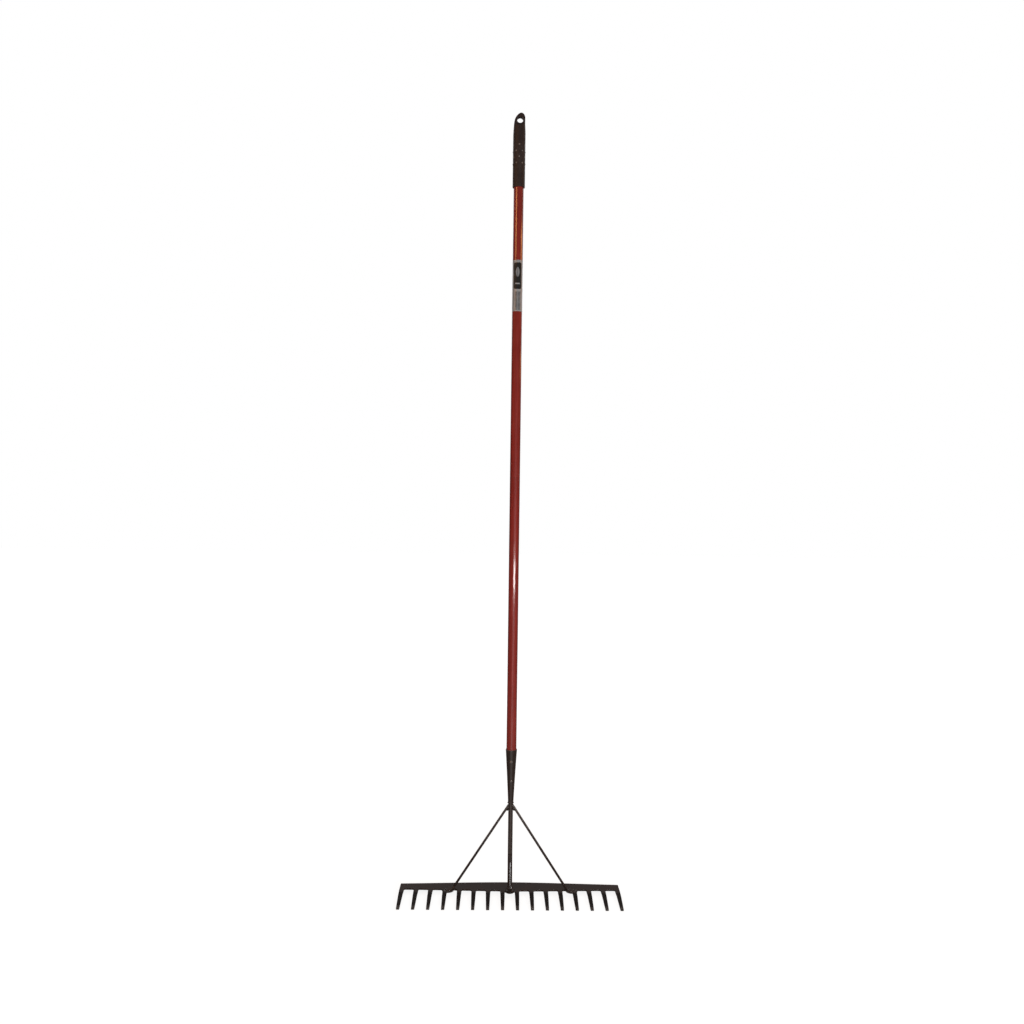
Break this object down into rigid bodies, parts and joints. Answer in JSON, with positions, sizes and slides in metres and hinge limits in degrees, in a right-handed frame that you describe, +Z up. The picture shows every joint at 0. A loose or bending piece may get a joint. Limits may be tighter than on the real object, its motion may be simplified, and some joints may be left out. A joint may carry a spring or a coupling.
{
  "type": "garden rake",
  "caption": "Level-head garden rake: painted tube handle with moulded hanging grip, riveted tapered socket, shank and two straight stays to a toothed bar.",
  "frame": {"origin": "on the handle's axis, level with the flat underside of the toothed bar", "axes": "+Z up the handle to the grip, +X along the toothed bar, the teeth point towards -Y"},
  "size_m": [0.4404, 0.1059, 1.5618],
  "materials": {
    "red_paint": "gloss",
    "black_paint": "satin",
    "grip": "matte",
    "label": "metallic foil",
    "rivet": "worn"
  },
  "bodies": {
    "root": {"handle_tube": "red_paint", "hand_grip": "grip", "handle_label": "label", "socket": "black_paint", "upper_rivet": "rivet", "lower_rivet": "rivet", "shank": "black_paint", "brace_left": "black_paint", "brace_right": "black_paint", "rake_head": "black_paint", "socket_weld": "black_paint", "brace_top_welds": "black_paint", "shank_weld": "black_paint", "brace_foot_welds": "black_paint"}
  },
  "joints": []
}
